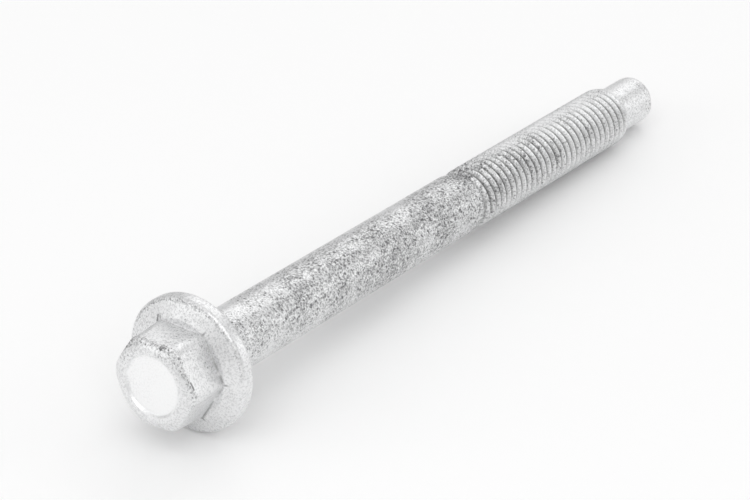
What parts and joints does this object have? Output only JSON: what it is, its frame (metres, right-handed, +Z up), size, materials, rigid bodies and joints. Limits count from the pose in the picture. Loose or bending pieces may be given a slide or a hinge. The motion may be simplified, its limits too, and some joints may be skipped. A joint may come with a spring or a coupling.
{
  "type": "flange bolt",
  "caption": "Long hexagon flange bolt with a dished head, plain shank, coarse right-hand thread and a pilot point that guides it into a nut or tapped hole.",
  "frame": {"origin": "middle of the lying bolt's box, on the surface that it lies on", "axes": "+X from the head towards the tip along the surface, with the bolt's own axis dipping 2.95 degrees towards the tip; +Z up, with a flat of the hexagon upwards"},
  "size_m": [0.154, 0.0252, 0.0253],
  "materials": {
    "zinc_coat": "satin silver-grey zinc coat on steel, mottled with dark specks"
  },
  "bodies": {
    "root": {"bolt": "zinc_coat"}
  },
  "joints": []
}
